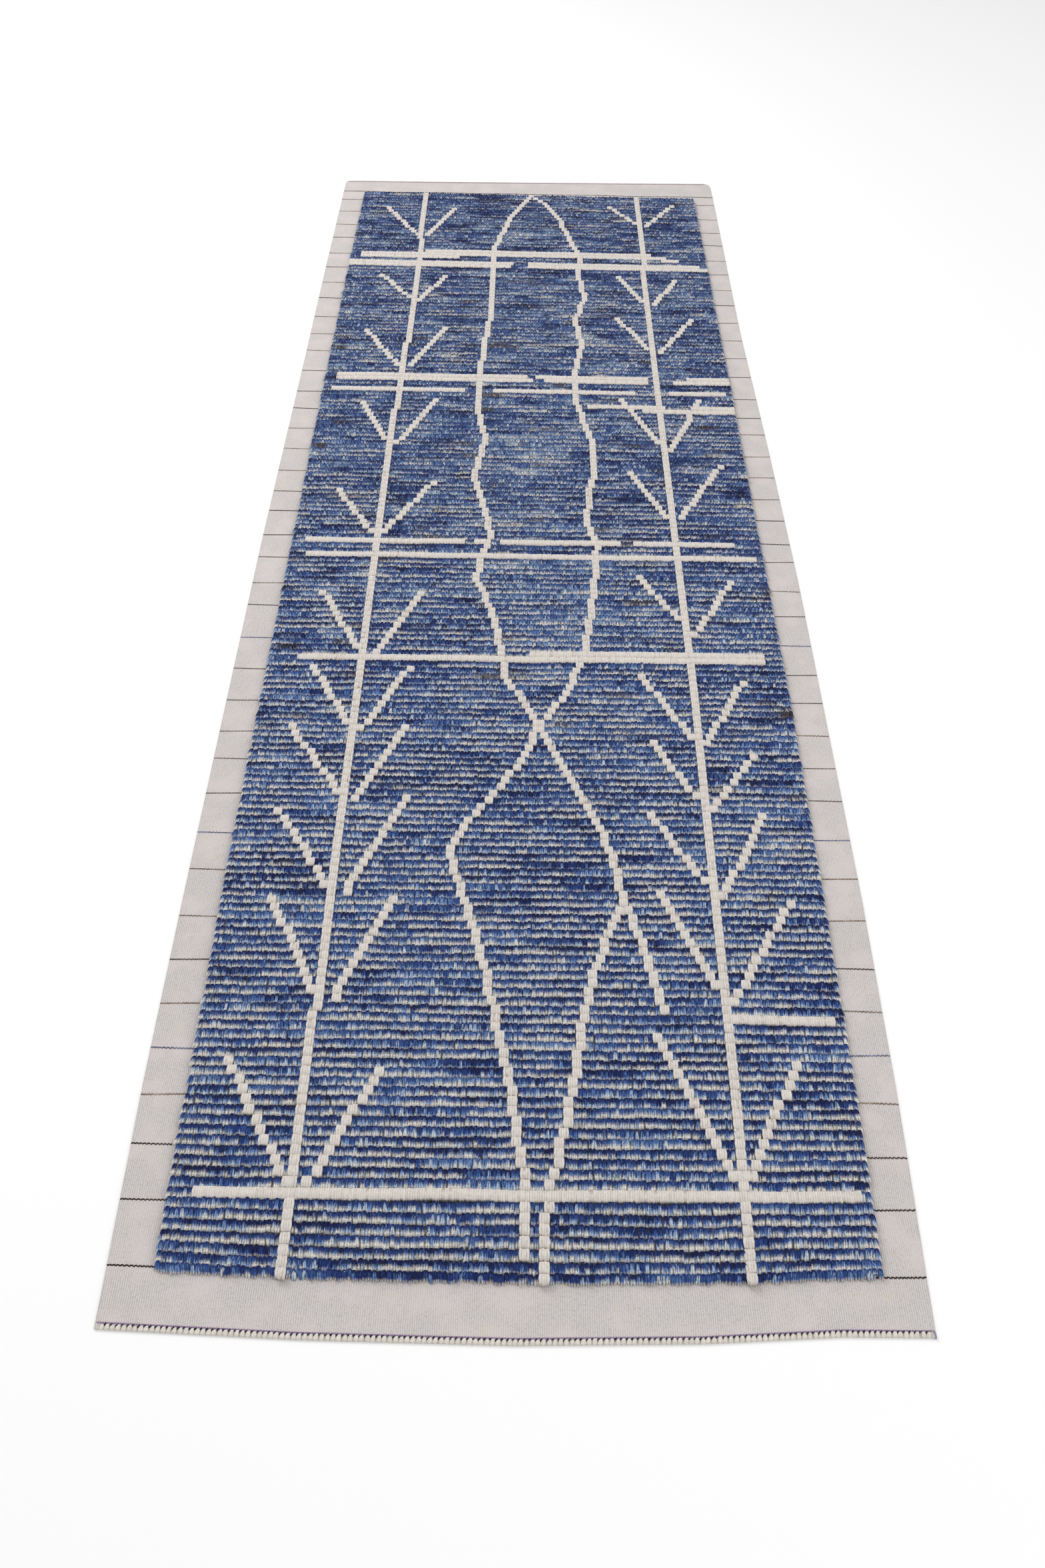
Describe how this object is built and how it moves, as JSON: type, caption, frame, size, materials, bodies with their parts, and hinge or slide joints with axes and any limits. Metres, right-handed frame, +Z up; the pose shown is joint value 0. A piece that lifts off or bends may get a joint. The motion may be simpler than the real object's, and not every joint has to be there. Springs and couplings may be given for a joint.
{
  "type": "runner rug",
  "caption": "Long flat-woven runner with a hand-knotted blue pile in low rows, raised ivory tree and lattice lines, and overcast ends.",
  "frame": {"origin": "on the floor under the middle of the rug's overall length and width", "axes": "+Z up from the floor, +Y along the rug from its front end to its back end, +X to the right seen from the front end"},
  "size_m": [0.922, 2.8689, 0.013],
  "materials": {
    "ground_wool": "matt flat weave in undyed cream wool",
    "blue_yarn": "matt hand-spun wool, uneven indigo",
    "ivory_yarn": "matt thick hand-spun wool",
    "dark_weft": "matt twisted wool yarn",
    "brown_weft": "matt twisted wool yarn",
    "blue_weft": "matt twisted wool yarn",
    "lock_thread": "fine twisted thread, lilac to navy"
  },
  "bodies": {
    "root": {"blue_pile_1": "blue_yarn", "blue_pile_2": "blue_yarn", "blue_pile_3": "blue_yarn", "blue_pile_4": "blue_yarn", "blue_pile_5": "blue_yarn", "blue_pile_6": "blue_yarn", "blue_pile_7": "blue_yarn", "blue_pile_8": "blue_yarn", "ground_weave": "ground_wool", "ivory_bar_01": "ivory_yarn", "ivory_bar_02": "ivory_yarn", "ivory_bar_03": "ivory_yarn", "ivory_bar_04": "ivory_yarn", "ivory_bar_05": "ivory_yarn", "ivory_bar_06": "ivory_yarn", "ivory_bar_07": "ivory_yarn", "ivory_bar_08": "ivory_yarn", "ivory_bar_09": "ivory_yarn", "ivory_bar_10": "ivory_yarn", "ivory_boughs_left_inner": "ivory_yarn", "ivory_boughs_left_outer": "ivory_yarn", "ivory_boughs_right_inner": "ivory_yarn", "ivory_boughs_right_outer": "ivory_yarn", "ivory_lattice_a": "ivory_yarn", "ivory_lattice_b": "ivory_yarn", "ivory_lattice_spur": "ivory_yarn", "ivory_trunk_left": "ivory_yarn", "ivory_trunk_right": "ivory_yarn", "lock_thread_back": "lock_thread", "lock_thread_front": "lock_thread", "marker_wefts_blue": "blue_weft", "marker_wefts_brown": "brown_weft", "marker_wefts_dark": "dark_weft", "overcast_back": "ivory_yarn", "overcast_front": "ivory_yarn"}
  },
  "joints": []
}
